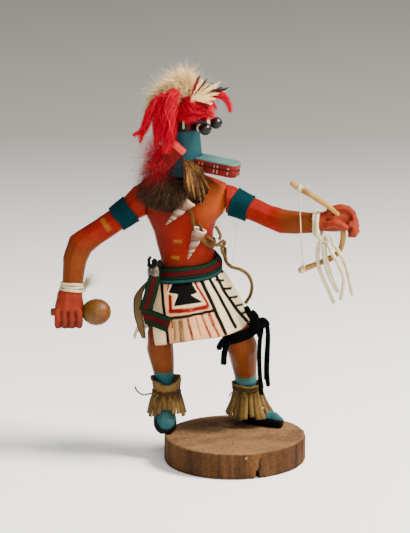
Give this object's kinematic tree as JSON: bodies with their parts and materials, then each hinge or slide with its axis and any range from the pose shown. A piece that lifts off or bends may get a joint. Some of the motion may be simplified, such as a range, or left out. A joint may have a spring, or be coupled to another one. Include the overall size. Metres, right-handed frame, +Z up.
{
  "type": "kachina doll",
  "caption": "Carved and painted wooden dancer figure in a long-snouted mask, dressed in leather, felt, yarn, fur and feathers, with rattle and bow, standing on a log slice.",
  "frame": {"origin": "middle of the log slice's flat underside", "axes": "+Z up, +X to the figure's left, +Y behind the figure"},
  "size_m": [0.2303, 0.1012, 0.2975],
  "materials": {
    "log_wood": "sawn and bare",
    "painted_wood": "matt earth paint on cottonwood",
    "turquoise_paint": "matt paint on cottonwood",
    "red_paint": "satin paint on cottonwood",
    "eye_paint": "glossy paint",
    "gourd_wood": "varnished",
    "peeled_wood": "peeled and bare",
    "kilt_leather": "painted thin leather",
    "suede": "raw suede",
    "felt": "felted",
    "white_yarn": "plied yarn",
    "black_yarn": "plied yarn",
    "woven_sash": "warp-faced weave",
    "shell_disc": "mottled and satin",
    "shell": "ridged and satin",
    "fur": "soft fur",
    "brown_feather": "stiff barbs",
    "down": "fluffy down",
    "red_wool": "loose dyed fibre"
  },
  "bodies": {
    "root": {"base": "log_wood", "body": "painted_wood", "arm_right": "painted_wood", "arm_left": "painted_wood", "mask": "turquoise_paint", "snout": "red_paint", "ear_right": "red_paint", "ear_left": "red_paint", "eye_right": "eye_paint", "eye_left": "eye_paint", "rattle": "gourd_wood", "bow": "peeled_wood", "kilt": "kilt_leather", "sash": "woven_sash", "sash_tail": "woven_sash", "sash_tail_back": "woven_sash", "concho": "shell_disc", "armband_right": "felt", "armband_left": "felt", "wrist_yarn_right": "white_yarn", "wrist_yarn_left": "white_yarn", "yarn_knot": "white_yarn", "garter": "black_yarn", "cuff_right": "suede", "cuff_left": "suede", "cuff_tie_right": "suede", "cuff_tie_left": "suede", "bandolier": "suede", "shell_upper": "shell", "shell_lower": "shell", "ruff": "fur", "chin_feather_long": "brown_feather", "head_down": "down", "feather_tuft": "down", "red_wool": "red_wool", "bow_string": "white_yarn", "thong_loop": "suede", "white_strand_1": "white_yarn", "white_strand_2": "white_yarn", "white_strand_3": "white_yarn", "white_strand_4": "white_yarn", "white_strand_5": "white_yarn", "black_strand_1": "black_yarn", "black_strand_2": "black_yarn", "black_strand_3": "black_yarn"}
  },
  "joints": []
}
